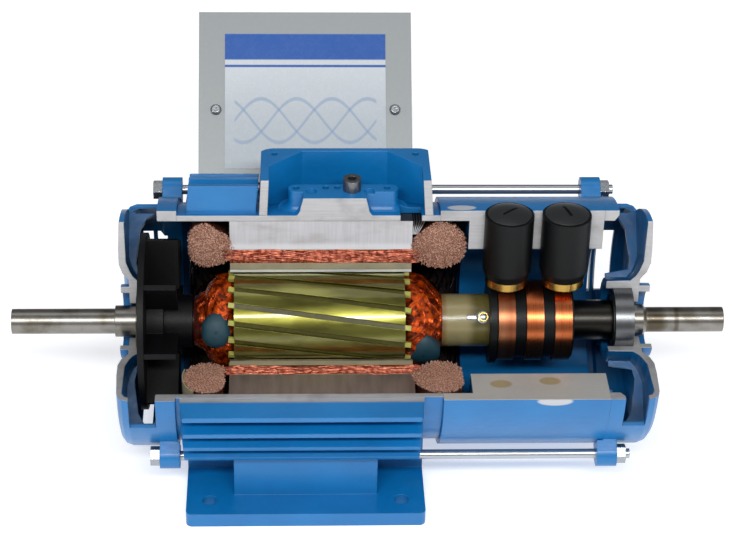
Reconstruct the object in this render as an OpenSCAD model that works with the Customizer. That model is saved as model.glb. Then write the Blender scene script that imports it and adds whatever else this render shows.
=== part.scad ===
// Cutaway synchronous motor-generator: a small three-phase machine on feet, sawn open
// from the front and top so that its rotor, windings, slip rings and brushes can be seen.
// X runs along the shaft towards the slip rings, Y towards the back, Z up.
// The origin is the centre of the four foot holes, on the plane the feet stand on.

/* [Shaft and rotor] */
// Height of the shaft axis above the feet
shaft_height = 71; // [68:1:90]
// Diameter of the two driven ends of the shaft
shaft_end_d = 12; // [9:0.5:13]
// Diameter of the shaft in its bearings
journal_d = 15; // [13.5:0.5:17]
// Diameter of the shaft between the bearings
shaft_body_d = 19; // [17.5:0.5:21]
// Length of the free shaft end on the fan side
fan_side_end_len = 48.8; // [30:0.2:60]
// Length of the free shaft end on the ring side
ring_side_end_len = 37; // [25:0.5:50]
// Length of the rotor core
rotor_len = 80; // [64:1:92]
// Outer diameter of the rotor core
rotor_d = 49.8; // [46:0.2:54]
// Number of rotor slots
rotor_slots = 18; // [12:1:22]
// Skew of the rotor slots, as an angle to the shaft
rotor_skew = 7.5; // [0:0.1:9]

/* [Stator] */
// Length of the stator core
stator_len = 85.3; // [70:0.1:100]
// Outer diameter of the stator core
stator_d = 106.6; // [104:0.2:112]
// Running gap between the rotor and the stator
air_gap = 0.5; // [0.3:0.1:1]
// Number of stator slots
stator_slots = 24; // [12:6:30]
// Radius of the bottom of a stator slot
slot_bottom_r = 38; // [35:0.5:42]

/* [Housing] */
// Wall of the finned frame
frame_wall = 3; // [2.5:0.1:4]
// Length of the finned frame past the stator on the fan side
frame_past_fan_side = 24.4; // [23:0.1:32]
// Length of the finned frame past the stator on the ring side
frame_past_ring_side = 12.8; // [10:0.1:16]
// Height of a cooling fin
fin_h = 13.6; // [8:0.1:18]
// Thickness of a cooling fin
fin_t = 2.6; // [2:0.1:3.5]
// Angle between neighbouring fins
fin_pitch = 8.7; // [8:0.1:10]
// Wall of the thin part of the brush chamber
chamber_wall = 5.5; // [4.5:0.1:6.5]
// Length of the brush chamber
chamber_len = 76.7; // [72:0.1:92]
// Bore of the thick part of the brush chamber
chamber_bore_d = 76; // [66:1:84]
// Length of the fan-side end shield, from its joint to its outer face
fan_shield_len = 27.7; // [27:0.1:32]
// Length of the ring-side end shield, from its joint to its outer face
ring_shield_len = 23.9; // [23.7:0.1:30]
// Height of the terminal box rim above the frame
box_rim_height = 18.6; // [16:0.2:30]
// Length of the terminal box at its rim
box_len = 78.6; // [64:0.2:84]

/* [Feet] */
// Distance between the foot holes along the shaft
foot_pitch_x = 90; // [80:1:96]
// Distance between the foot holes across the shaft
foot_pitch_y = 112; // [106:1:124]
// Diameter of the foot holes
foot_hole_d = 7; // [5:0.5:9]
// Thickness of a foot
foot_t = 7.1; // [5:0.1:10]

/* [Brush gear] */
// Outer diameter of a brush-holder tube
tube_d = 22.9; // [20:0.1:25]
// Distance between neighbouring slip rings
ring_pitch = 13.35; // [12.5:0.05:15]
// Outer diameter of the slip rings
ring_d = 38.4; // [34:0.2:42]
// Width of a slip ring
ring_w = 8; // [6:0.1:10]

/* [Label plate] */
// Width of the label plate
plate_w = 105; // [80:1:120]
// Length of the label plate up its slope
plate_h = 86; // [70:1:110]
// Lean of the label plate back from upright
plate_lean = 41; // [30:1:50]

/* [Hidden] */
$fn = 96;

blue = [0.12, 0.42, 0.72];
copper = [0.72, 0.4, 0.25];
steel = [0.78, 0.79, 0.8];
black = [0.1, 0.1, 0.11];

eps = 0.01;       // overcut of a cutting solid
big = 400;        // reach of the solids that stand for the saw
seat_gap = 0.05;  // clearance of pieces that seat on a curved face
saw_back = 3;     // the upright saw cut is this far behind the axis
saw_drop = 5;     // the level saw cut is this far below the axis

// stations along the shaft
stator_mid_x = 7.35;
stator_x0 = stator_mid_x - stator_len / 2;
stator_x1 = stator_mid_x + stator_len / 2;
frame_x0 = stator_x0 - frame_past_fan_side;
frame_x1 = stator_x1 + frame_past_ring_side;
chamber_x1 = frame_x1 + chamber_len;
fan_face_x = frame_x0 - fan_shield_len;
ring_face_x = chamber_x1 + ring_shield_len;
core_mid_x = stator_mid_x - 0.75;
rotor_x0 = core_mid_x - rotor_len / 2;
rotor_x1 = core_mid_x + rotor_len / 2;
slip_mid_x = frame_x1 + 45.3;

// radii from the axis
stator_r = stator_d / 2;
rotor_r = rotor_d / 2;
shaft_r = shaft_body_d / 2;
bore_r = rotor_r + air_gap;
housing_in_r = stator_r + seat_gap;
frame_out_r = housing_in_r + frame_wall;
chamber_out_r = housing_in_r + chamber_wall;
fin_tip_r = frame_out_r + fin_h;
ring_r = ring_d / 2;

// angles round the axis: 0 points to the back, 90 up, 180 to the front
module at_axis() { translate([0, 0, shaft_height]) children(); }
// children drawn in (back, up) are stood on the axis, their height along X
module axial(x = 0, angle = 0) {
    at_axis() translate([x, 0, 0]) rotate([angle, 0, 0]) rotate([90, 0, 90]) children();
}
module rod(x0, x1, r) { axial(x0) cylinder(h = x1 - x0, r = r); }
module ring(x0, x1, r_in, r_out) {
    difference() {
        rod(x0, x1, r_out);
        rod(x0 - eps, x1 + eps, r_in);
    }
}
// points are [station, radius]
module turned(points, from = 0, sweep = 360) {
    axial(0, from) rotate_extrude(angle = sweep) polygon([for (p = points) [p[1], p[0]]]);
}
function oval(mid_x, mid_r, half_x, half_r, a0, a1, steps) =
    [for (i = [0:steps]) let (a = a0 + (a1 - a0) * i / steps)
        [mid_x + half_x * cos(a), mid_r + half_r * sin(a)]];
// the front top quarter that the saw took away
module sawn_quarter() {
    translate([-big / 2, saw_back - big, shaft_height - saw_drop]) cube([big, big, big]);
}
module sawn() {
    difference() {
        children();
        sawn_quarter();
    }
}

/* ---- finned frame and feet ---- */
fin_x0 = frame_x0 + 2;
fin_x1 = frame_x1 - 8.8;
fin_slant = 1.5;
top_fin_x0 = fin_x0 + 2.5;
top_fin_slant = 1;
foot_out_y = foot_pitch_y / 2 + 10.8;
foot_in_y = foot_pitch_y / 2 - 25;
foot_x = foot_pitch_x / 2 + 11;
foot_box_x = 33.6;
foot_box_y = foot_pitch_y / 2 - 4;
foot_wall = 5;
foot_wall_top = shaft_height - 25;
front_fins = [for (i = [0:3]) 186.6 + i * fin_pitch];
rear_fins = [for (i = [0:3]) -6.6 - i * fin_pitch];
upper_fins = [for (i = [0:4]) 2.2 + i * fin_pitch];
top_fins = [for (i = [0:3]) 83 - i * fin_pitch];

module fin(angle, x0, x1, slant0, slant1) {
    axial(0, angle) translate([0, fin_t / 2, 0]) rotate([90, 0, 0]) linear_extrude(height = fin_t)
    polygon([[frame_out_r - 1, x0], [frame_out_r + 2, x0], [fin_tip_r, x0 + slant0],
             [fin_tip_r, x1 - slant1], [frame_out_r + 2, x1], [frame_out_r - 1, x1]]);
}
foot_corner = 3;
// outline of a plate whose two far corners are rounded
function round_plate(half_x, near_y, far_y, r) = concat(
    [[-half_x, near_y], [half_x, near_y]],
    [for (a = [0:15:90]) [half_x - r + r * cos(a), far_y - r + r * sin(a)]],
    [for (a = [90:15:180]) [-half_x + r + r * cos(a), far_y - r + r * sin(a)]]);
module foot() {
    difference() {
        union() {
            linear_extrude(height = foot_t)
            polygon(round_plate(foot_x, foot_in_y - foot_wall, foot_out_y, foot_corner));
            translate([-foot_x, foot_in_y - foot_wall, 0]) cube([2 * foot_x, foot_wall, foot_wall_top]);
            translate([-foot_box_x, foot_in_y - foot_wall, 0])
            cube([2 * foot_box_x, foot_box_y - foot_in_y + foot_wall, foot_wall_top - 4]);
        }
        translate([-foot_box_x + foot_wall, foot_in_y - foot_wall - eps, -eps])
        cube([2 * (foot_box_x - foot_wall), foot_box_y - foot_in_y + eps, foot_wall_top - 10]);
        rod(-foot_x - eps, foot_x + eps, housing_in_r + frame_wall / 2);
        axial(-foot_x, -45) translate([tie_r, 0, 0]) cylinder(h = 2 * foot_x, d = tie_d + 0.6);
        for (x = [-foot_pitch_x / 2, foot_pitch_x / 2])
            translate([x, foot_pitch_y / 2, -eps])
            cylinder(h = foot_t + 2 * eps, d = foot_hole_d);
    }
}
module frame_casting() {
    color(blue) difference() {
        union() {
            sawn() union() {
                ring(frame_x0, frame_x1, housing_in_r, frame_out_r);
                for (a = top_fins) fin(a, top_fin_x0, top_fin_x1, top_fin_slant, -box_side_slant);
                ledge();
            }
            for (a = concat(front_fins, rear_fins, upper_fins))
                fin(a, fin_x0, fin_x1, fin_slant, fin_slant);
            foot();
            mirror([0, 1, 0]) foot();
        }
        for (x = strut_xs) strut_bore(x, foot_t - 5 - eps);
        ledge_holes();
        rod(frame_x0 - eps, frame_x1 + eps, housing_in_r);
        wire_hole();
    }
}

/* ---- terminal box ---- */
box_mid_x = core_mid_x + 12.1;
box_rim_x0 = box_mid_x - box_len / 2;
box_rim_x1 = box_mid_x + box_len / 2;
box_base_x0 = box_rim_x0 - 1.9;
box_base_x1 = box_rim_x1 + 3;
top_fin_x1 = box_base_x0 - 0.5;
box_side_slant = 1.2;
box_wall = 3.8;
box_rear_wall = 2.6;
box_rear_y = 33.6;
box_low_z = shaft_height + 36;
box_rim_z = shaft_height + frame_out_r + box_rim_height;
box_corner_r = 8;
cover_hole_r = 1.6;
cover_hole_in_x = 6.2;
cover_hole_in_y = 5.5;
pillar_x = 22;
pillar_y = 20;
pillar_out = 5;
ledge_z = shaft_height + frame_out_r + 9.1;
ledge_foot_z = shaft_height + frame_out_r - 1.2;
ledge_x0 = box_mid_x - 19.7;
ledge_x1 = box_mid_x + 9.4;
ledge_draft = 1.3;
ledge_fillet = 5;
ledge_back_y = 16.2;
lobe_x0 = box_mid_x - 26.7;
lobe_x1 = box_mid_x + 24.6;
lobe_r = 3.5;
lobe_y = ledge_back_y - lobe_r;
box_screw_x = box_mid_x + 3;
box_screw_y = 11.6;
box_screw_r = 2.5;
box_screw_depth = 7.5;
wire_hole_len = 10;
wire_hole_x = box_rim_x1 - box_wall - wire_hole_len;
wire_hole_y = 12.5;

module box_block(inset, z0, z1) {
    translate([0, box_rear_y - inset, 0]) rotate([90, 0, 0])
    linear_extrude(height = 2 * box_rear_y - 2 * inset)
    polygon([[box_base_x0 + inset, z0], [box_base_x1 - inset, z0],
             [box_rim_x1 - inset, z1], [box_rim_x0 + inset, z1]]);
}
module wire_hole() {
    translate([wire_hole_x, 0, shaft_height + housing_in_r - 10]) cube([wire_hole_len, wire_hole_y, 24]);
}
module cover_holes() {
    for (x = [box_rim_x0 + cover_hole_in_x, box_rim_x1 - cover_hole_in_x])
        translate([x, box_rear_y - cover_hole_in_y, box_rim_z - 12]) cylinder(h = 13, r = cover_hole_r);
}
// three-sided pillars fill the two rear corners and carry the cover screws
module corner_pillars() {
    for (end = [[box_rim_x0, 1], [box_rim_x1, -1]])
        translate([end[0], box_rear_y, box_low_z]) linear_extrude(height = box_rim_z - box_low_z)
        polygon([[-pillar_out * end[1], 0], [-pillar_out * end[1], -pillar_y],
                 [0, -pillar_y], [end[1] * pillar_x, 0]]);
}
// the ledge is a drafted block with a round lobe at each end, and a fillet all round its foot
module ledge() {
    arc = [for (a = [-90:15:0]) ledge_fillet * [cos(a) - 1, sin(a) + 1]];
    translate([0, ledge_back_y, 0]) rotate([90, 0, 0]) linear_extrude(height = ledge_back_y)
    polygon(concat(
        [[ledge_x0 - ledge_draft - ledge_fillet, box_low_z]],
        [for (p = arc) [ledge_x0 - ledge_draft + p[0], ledge_foot_z + p[1]]],
        [[ledge_x0, ledge_z], [ledge_x1, ledge_z]],
        [for (i = [len(arc) - 1:-1:0]) [ledge_x1 + ledge_draft - arc[i][0], ledge_foot_z + arc[i][1]]],
        [[ledge_x1 + ledge_draft + ledge_fillet, box_low_z]]));
    translate([lobe_x0 + lobe_r, 0, 0]) rotate([90, 0, 90])
    linear_extrude(height = lobe_x1 - lobe_x0 - 2 * lobe_r)
    polygon(concat(
        [for (p = arc) [lobe_y - lobe_r + p[0], ledge_foot_z + p[1]]],
        [[lobe_y - lobe_r, ledge_z], [ledge_back_y, ledge_z], [ledge_back_y, box_low_z],
         [lobe_y - lobe_r - ledge_fillet, box_low_z]]));
    for (x = [lobe_x0 + lobe_r, lobe_x1 - lobe_r]) translate([x, lobe_y, 0])
        rotate_extrude() polygon(concat(
            [[0, box_low_z], [lobe_r + ledge_fillet, box_low_z]],
            [for (p = arc) [lobe_r - p[0], ledge_foot_z + p[1]]],
            [[lobe_r, ledge_z], [0, ledge_z]]));
}
// holes in the ledge: their places are [distance from the screw, place in Y]
terminal_holes = [[-26, 12.9], [-12.2, 13.2], [-6.8, 13.2], [16.4, 12.9]];
terminal_hole_r = 1.6;
post_holes = [[-19, 9.6], [8, 9.6]];
post_hole_r = 2.6;
module ledge_hole(place, r, depth) {
    translate([place[0], place[1], ledge_z - depth]) cylinder(h = depth + 1, r = r);
}
module ledge_holes() {
    ledge_hole([box_screw_x, box_screw_y], box_screw_r + seat_gap, box_screw_depth + 0.5);
    for (p = terminal_holes) ledge_hole([box_screw_x + p[0], p[1]], terminal_hole_r, 6);
    for (p = post_holes) ledge_hole([box_screw_x + p[0], p[1]], post_hole_r, 1.2);
}
module terminal_box() {
    color(blue) sawn() difference() {
        intersection() {
            box_block(0, box_low_z, box_rim_z + eps);
            translate([(box_base_x0 + box_base_x1) / 2, 0, box_low_z]) linear_extrude(height = big)
            polygon(round_plate((box_base_x1 - box_base_x0) / 2, -big, box_rear_y, box_corner_r));
            union() {
                difference() {
                    box_block(-1, box_low_z - 1, box_rim_z + 1);
                    translate([0, box_wall - box_rear_wall, 0])
                    box_block(box_wall, box_low_z - 2, box_rim_z + 2);
                }
                corner_pillars();
            }
        }
        rod(-big / 2, big / 2, frame_out_r + seat_gap);
        wire_hole();
        cover_holes();
    }
}
module terminal_box_screw() {
    color(black) translate([box_screw_x, box_screw_y, ledge_z]) {
        difference() {
            cylinder(h = 5.8, r = 4.25);
            translate([0, 0, 3]) cylinder(h = 3, r = 2.3, $fn = 6);
        }
        translate([0, 0, -box_screw_depth]) cylinder(h = box_screw_depth + eps, r = box_screw_r);
    }
}

/* ---- brush chamber ---- */
chamber_thick_x = frame_x1 + 13.6;
tube_r = tube_d / 2;
brush_xa = slip_mid_x - ring_pitch;
brush_xb = slip_mid_x + ring_pitch;
module brush_chamber() {
    color(blue) sawn() difference() {
        rod(frame_x1, chamber_x1, chamber_out_r);
        rod(frame_x1 - eps, chamber_thick_x, housing_in_r);
        rod(frame_x1 - eps, chamber_x1 + eps, chamber_bore_d / 2);
        for (x = [brush_xa, brush_xb])
            translate([x, 0, shaft_height]) cylinder(h = big / 4, r = tube_r + seat_gap);
    }
}

/* ---- end shields: points are [distance from the outer face, radius] ---- */
race_w = 9;
race_depth = 8;
race_split_r = 11.6;
race_gap = 0.3;
shoulder_relief = 0.5;
race_out_r = 16;
hub_in_r = race_out_r + seat_gap;
hub_out_r = hub_in_r + 4;
shaft_hole_r = journal_d / 2 + 1.1;
shield_face_r = chamber_out_r - 6.5;
tie_r = chamber_out_r + 5.6;
tie_d = 4.6;
slot_half = 18;
window_top_half = 50;
window_front_half = 23.2;
window_d0 = 6.4;
window_top_r = chamber_out_r - 5.8;
fan_window_d1 = 18.6;
ring_window_d1 = 17.1;
rib_half = 1.6;
lug_angles = [45, -45, 225];
lug_r = 6;
lug_len = 9.4;
lug_gap = 0.3;
fan_lug_xs = [19.3, 19.3, 19.3];
ring_lug_xs = [20.7, 20.7, 17.3];
fan_hub_len = 9.3;
ring_hub_len = 20.3;
fan_lip = 0.4;
ring_lip = -0.7;

function shield_outline(joint, hub_len, lip) = [
    [joint, housing_in_r], [joint, chamber_out_r], [6.5, chamber_out_r], [3.4, chamber_out_r - 1.2],
    [1.6, chamber_out_r - 3.6], [0.8, shield_face_r], [0, 38], [0, 30], [1.5, 25], [3.5, 22.5], [4.4, 21],
    [4.4, 17.6], [lip, 17.6], [lip, 14.2], [4.4, 14.2], [4.4, shaft_hole_r],
    [race_depth - shoulder_relief, shaft_hole_r],
    [race_depth - shoulder_relief, race_split_r + race_gap],
    [race_depth, race_split_r + race_gap], [race_depth, hub_in_r], [hub_len, hub_in_r],
    [hub_len, hub_out_r], [9, hub_out_r + 0.3], [6.5, 23], [5, 26], [3.4, 31], [3.2, shield_face_r],
    [4.4, chamber_out_r - 4], [7.6, chamber_out_r - 2.4], [17, chamber_out_r - 2.4], [19, housing_in_r]
];
// a thin rib stands inside the shield, in line with each lug
function rib_outline(hub_len) = [
    [hub_len - 1, hub_out_r - 0.4], [hub_len - 1, 22.6], [8, 24.6], [7, 29], [8.3, 40], [8.6, 44], [12, 50],
    [17, 52.6], [17, 56.8], [7.4, 56.8], [4.1, 55.1], [2.9, 52.5], [3.1, 31], [4.7, 26], [6.2, 23],
    [8.6, hub_out_r]
];
module sector(x0, x1, mid, half, r0, r1) {
    axial(0, mid - half) rotate_extrude(angle = 2 * half) translate([r0, x0]) square([r1 - r0, x1 - x0]);
}
module lug(x, angle) {
    difference() {
        union() {
            axial(x, angle) translate([tie_r, 0, 0]) cylinder(h = lug_len, r = lug_r);
            axial(x, angle) translate([housing_in_r + 1, -lug_r, 0])
            cube([tie_r - housing_in_r - 1, 2 * lug_r, lug_len]);
        }
        axial(x - eps, angle) translate([tie_r, 0, 0]) cylinder(h = lug_len + 2 * eps, d = tie_d + 0.2);
    }
}
module shield(joint, hub_len, lip, lug_xs, window_d1, slots) {
    difference() {
        union() {
            turned(shield_outline(joint, hub_len, lip));
            for (i = [0:2]) lug(lug_xs[i], lug_angles[i]);
            for (a = lug_angles) turned(rib_outline(hub_len), a - rib_half, 2 * rib_half);
        }
        for (s = slots) for (a = [0, -90]) sector(s[0], s[1], a, slot_half, housing_in_r - 1, tie_r);
        sector(window_d0, window_d1, 90, window_top_half, housing_in_r - 1, tie_r);
        sector(-eps, window_d0 + eps, 90, window_top_half, window_top_r, tie_r);
        sector(window_d0, window_d1, 180, window_front_half, housing_in_r - 1, tie_r);
        rod(joint, joint + 20, chamber_out_r + lug_gap);
    }
}
module fan_end_shield() {
    color(blue) sawn() translate([fan_face_x, 0, 0])
    shield(fan_shield_len, fan_hub_len, fan_lip, fan_lug_xs, fan_window_d1, [[8.4, 13.4], [15.4, 20.4]]);
}
module ring_end_shield() {
    color(blue) sawn() translate([ring_face_x, 0, 0]) mirror([1, 0, 0])
    shield(ring_shield_len, ring_hub_len, ring_lip, ring_lug_xs, ring_window_d1, [[9.9, 17.9], [20.4, 23.2]]);
}

/* ---- stator: a slot runs through each saw cut ---- */
slot_phase = 84.8;
slot_w_in = 3.6;
slot_w_out = 5.6;
slot_mouth = 2;
slot_top_r = bore_r + 1.6;
liner_t = 0.4;
coil_low_r = 30.5;
slot_angles = [for (i = [0:stator_slots - 1]) slot_phase + i * 360 / stator_slots];

module slot_bar(x0, x1, r0, r1, w0, w1, angle) {
    axial(x0, angle) linear_extrude(height = x1 - x0)
    polygon([[r0, -w0 / 2], [r1, -w1 / 2], [r1, w1 / 2], [r0, w0 / 2]]);
}
module slot_fill(x0, x1, inset, angle) {
    slot_bar(x0, x1, slot_top_r + inset, slot_bottom_r - inset, slot_w_in - 2 * inset,
             slot_w_out - 2 * inset, angle);
}
module stator_core() {
    color(steel) sawn() difference() {
        rod(stator_x0, stator_x1, stator_r);
        rod(stator_x0 - eps, stator_x1 + eps, bore_r);
        for (a = slot_angles) {
            slot_fill(stator_x0 - 1, stator_x1 + 1, 0, a);
            slot_bar(stator_x0 - 1, stator_x1 + 1, bore_r - 1, slot_top_r + eps, slot_mouth, slot_mouth, a);
        }
    }
}
// the coil lies in its liner, above the strip that closes the slot
module coil_bar(x0, x1, angle) {
    intersection() {
        slot_fill(x0, x1, liner_t, angle);
        sector(x0 - 1, x1 + 1, angle, 10, coil_low_r, stator_r);
    }
}
module slot_liners() {
    color([0.85, 0.8, 0.62]) sawn() for (a = slot_angles) difference() {
        slot_fill(stator_x0, stator_x1, 0, a);
        coil_bar(stator_x0 - 1, stator_x1 + 1, a);
    }
}
module stator_coils() {
    color(copper) sawn() for (a = slot_angles) coil_bar(stator_x0, stator_x1, a);
}
coil_in_r = slot_top_r + 1;
module end_winding_fan_side() {
    color(copper) sawn()
    turned(concat([[stator_x0, coil_in_r]], oval(stator_x0 - 11, 40.5, 10, 11.6, 315, 45, 14),
                  [[stator_x0, slot_bottom_r]]));
}
module end_winding_ring_side() {
    color(copper) sawn()
    turned(concat([[stator_x1, slot_bottom_r]], oval(stator_x1 + 14.2, 40, 12, 12.6, 140, -140, 16),
                  [[stator_x1, coil_in_r]]));
}
module insulation_sheet() {
    color([0.88, 0.86, 0.74])
    turned(concat(oval(stator_x0 - 11, 40.5, 10.4, 12, 205, 120, 8),
                  oval(stator_x0 - 11, 40.5, 10.9, 12.5, 120, 205, 8)), 185.6, 60);
}

/* ---- tie rods ---- */
nut_h = 4.5;
rod_past_nut = 2;
module tie_rods() {
    color(steel) for (i = [0:2]) {
        x0 = fan_face_x + fan_lug_xs[i] - nut_h;
        x1 = ring_face_x - ring_lug_xs[i] + nut_h + rod_past_nut;
        axial(x0, lug_angles[i]) translate([tie_r, 0, 0]) cylinder(h = x1 - x0, d = tie_d);
    }
}
module tie_rod_nuts() {
    color(steel) for (i = [0:2]) for (x = [fan_face_x + fan_lug_xs[i] - nut_h, ring_face_x - ring_lug_xs[i]])
        axial(x, lug_angles[i]) translate([tie_r, 0, 0]) difference() {
            cylinder(h = nut_h, r = 4.6, $fn = 6);
            translate([0, 0, -eps]) cylinder(h = nut_h + 2 * eps, d = tie_d);
        }
}

/* ---- brush gear ---- */
tube_top_z = shaft_height + chamber_out_r - 0.5;
tube_foot_z = shaft_height + ring_r + 6.8;
tube_wall = 1.2;
cap_t = 3;
cap_proud = 0.5;
cap_dome = 1.8;
cap_slot_len = 9;
cap_slot_w = 1.6;
cap_slot_depth = 1.5;
collar_r = 10;
tube_taper = 4;
collar_h = 4;
brush_r = 4;
brush_wear_gap = 0.3;
module brush_tube(x) {
    color(black) translate([x, 0, 0]) difference() {
        union() {
            translate([0, 0, tube_foot_z + tube_taper])
            cylinder(h = tube_top_z - tube_foot_z - tube_taper, r = tube_r);
            translate([0, 0, tube_foot_z]) cylinder(h = tube_taper, r1 = collar_r + 0.3, r2 = tube_r);
        }
        translate([0, 0, tube_top_z + cap_proud - cap_t]) cylinder(h = cap_t, r = tube_r - tube_wall);
        translate([0, 0, tube_foot_z - eps]) cylinder(h = 40, r = brush_r + seat_gap);
    }
}
module brush_cap(x, angle) {
    r = tube_r - tube_wall - seat_gap;
    color(black) translate([x, 0, tube_top_z + cap_proud - cap_t]) difference() {
        rotate_extrude()
        polygon(concat([[0, 0], [r, 0]],
                       [for (i = [8:-1:0]) [r * i / 8, cap_t + cap_dome * (1 - i * i / 64)]]));
        rotate([0, 0, angle])
        translate([-cap_slot_len / 2, -cap_slot_w / 2, cap_t + cap_dome - cap_slot_depth])
        cube([cap_slot_len, cap_slot_w, cap_slot_depth + 1]);
    }
}
module brush_collar(x) {
    color([0.75, 0.6, 0.25]) translate([x, 0, tube_foot_z - collar_h]) difference() {
        cylinder(h = collar_h, r = collar_r);
        translate([0, 0, -eps]) cylinder(h = collar_h + 2 * eps, r = brush_r + seat_gap);
    }
}
module carbon_brush(x) {
    color(black) translate([x, 0, shaft_height]) difference() {
        cylinder(h = 40, r = brush_r);
        rotate([0, 90, 0]) cylinder(h = 40, r = ring_r + brush_wear_gap, center = true);
    }
}

/* ---- bearings ---- */
fan_race_x = fan_face_x + race_depth;
ring_race_x = ring_face_x - race_depth - race_w;
module outer_race(x) {
    color(steel) ring(x, x + race_w, race_split_r + race_gap, race_out_r);
}
module inner_race(x) {
    color(steel) ring(x, x + race_w, journal_d / 2, race_split_r);
}
module outer_race_fan_side() { outer_race(fan_race_x); }
module outer_race_ring_side() { outer_race(ring_race_x); }
module inner_race_fan_side() { inner_race(fan_race_x); }
module inner_race_ring_side() { inner_race(ring_race_x); }

/* ---- label plate, on two struts that stand on the rear foot ---- */
plate_t = 2;
plate_mid_x = core_mid_x - 5.8;
plate_low_y = fin_tip_r - 8;
plate_low_z = shaft_height + 40;
strut_w = 14;
strut_t = 3;
strut_y = fin_tip_r + 3;
strut_xs = [-23, 25];
strut_tab_y = foot_pitch_y / 2 + 4.5;
sheet_w = 79.3;
sheet_h = 68;
sheet_t = 0.3;
plate_screw_up = plate_h * 0.425;
plate_screw_x = plate_w / 2 - 8.4;
plate_screw_r = 2;
bar_w = 16;
bar_low = plate_screw_up - bar_w / 2;
module on_plate() {
    translate([plate_mid_x, plate_low_y, plate_low_z]) rotate([-plate_lean, 0, 0]) children();
}
// the place behind the plate, at a height up its slope and a depth behind its face
function behind(up, depth) = [plate_low_y + up * sin(plate_lean) + depth * cos(plate_lean),
                              plate_low_z + up * cos(plate_lean) - depth * sin(plate_lean)];
// the height up the slope at which a depth behind the plate reaches a place in Y
function slope_at(y, depth) = (y - plate_low_y - depth * cos(plate_lean)) / sin(plate_lean);
module plate_screw_holes(depth) {
    on_plate() for (s = [-1, 1])
        translate([s * plate_screw_x, -1, plate_screw_up]) rotate([-90, 0, 0])
        cylinder(h = depth + 2, r = plate_screw_r + seat_gap);
}
module label_plate() {
    color([0.68, 0.69, 0.68]) difference() {
        on_plate() translate([-plate_w / 2, 0, 0]) cube([plate_w, plate_t, plate_h]);
        plate_screw_holes(plate_t);
    }
}
module label_sheet() {
    color([0.85, 0.88, 0.9]) on_plate() translate([-sheet_w / 2, -sheet_t, plate_h - sheet_h - 11])
    cube([sheet_w, sheet_t, sheet_h]);
}
module plate_cross_bar() {
    color(steel) difference() {
        on_plate() translate([-plate_w / 2 + 2, plate_t, bar_low]) cube([plate_w - 4, strut_t, bar_w]);
        plate_screw_holes(plate_t + strut_t);
    }
}
module plate_screws() {
    color(steel) {
        on_plate() for (s = [-1, 1])
            translate([s * plate_screw_x, 0, plate_screw_up]) rotate([-90, 0, 0]) {
                translate([0, 0, -2]) button_head();
                translate([0, 0, -eps]) cylinder(h = plate_t + strut_t + eps, r = plate_screw_r);
            }
        for (x = strut_xs)
            translate([x, strut_tab_y + 3.5, foot_t + strut_t + 2]) mirror([0, 0, 1]) {
                button_head();
                translate([0, 0, 2 - eps]) cylinder(h = strut_t + 5, r = 1.5);
            }
    }
}
module button_head() {
    difference() {
        cylinder(h = 2, r1 = 1.9, r2 = 2.8);
        translate([0, 0, -eps]) cylinder(h = 1.2, r = 1, $fn = 6);
    }
}
module strut_bore(x, z) { translate([x, strut_tab_y + 3.5, z]) cylinder(h = 12, r = 1.5 + seat_gap); }
module plate_strut(x) {
    bend_front = slope_at(strut_y, plate_t);
    bend_back = slope_at(strut_y + strut_t, plate_t + strut_t);
    color(steel) difference() {
        translate([x - strut_w / 2, 0, 0]) rotate([90, 0, 90]) linear_extrude(height = strut_w)
        polygon([[strut_tab_y, foot_t], [strut_y + strut_t, foot_t], behind(bend_back, plate_t + strut_t),
                 behind(bar_low, plate_t + strut_t), behind(bar_low, plate_t), behind(bend_front, plate_t),
                 [strut_y, foot_t + strut_t], [strut_tab_y, foot_t + strut_t]]);
        strut_bore(x, foot_t - 1);
    }
}

/* ---- rotor ---- */
shoulder_x0 = fan_race_x + race_w;
shoulder_x1 = ring_race_x;
journal_x0 = fan_face_x - 2.4;
journal_x1 = ring_face_x - 0.8;
journal_chamfer = 1.6;
shaft_x0 = journal_x0 - fan_side_end_len;
shaft_x1 = journal_x1 + ring_side_end_len;
module shaft() {
    color(steel) union() {
        rod(shaft_x0, shaft_x1, shaft_end_d / 2);
        rod(journal_x0, journal_x1 - journal_chamfer, journal_d / 2);
        axial(journal_x1 - journal_chamfer)
        cylinder(h = journal_chamfer, r1 = journal_d / 2, r2 = shaft_end_d / 2);
        rod(shoulder_x0, shoulder_x1, shaft_r);
    }
}
wedge_w = 2.4;
wedge_depth = 3.2;
wedge_low = 1.2;
wedge_out = 3;
slot_turn = 2.4;
rotor_slot_angles = [for (i = [0:rotor_slots - 1]) slot_turn + i * 360 / rotor_slots];
module skew_bar(len, w, r0, r1, angle) {
    axial(core_mid_x, angle) translate([(r0 + r1) / 2, 0, 0]) rotate([-rotor_skew, 0, 0])
    cube([r1 - r0, w, len], center = true);
}
module rotor_core() {
    color([0.6, 0.6, 0.3]) difference() {
        ring(rotor_x0, rotor_x1, shaft_r, rotor_r);
        for (a = rotor_slot_angles)
            skew_bar(rotor_len + 30, wedge_w, rotor_r - wedge_depth, rotor_r + 2, a);
    }
}
module slot_wedges() {
    color([0.8, 0.8, 0.35]) for (a = rotor_slot_angles)
        skew_bar(rotor_len + 2 * wedge_out, wedge_w, rotor_r - wedge_depth, rotor_r - wedge_low, a);
}
fan_x0 = fan_face_x + 10.1;
fan_x1 = fan_x0 + 18.3;
fan_sleeve_x1 = fan_x1 + 6;
fan_sleeve_r = 12.6;
fan_r = 42;
fan_hub_r = 18;
fan_boss_len = 10.8;
fan_blade_t = 2.6;
fan_blades = 8;
fan_blade_angles = [for (i = [0:fan_blades - 1]) 80 + i * 360 / fan_blades];
fan_disc_t = 3;
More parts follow.
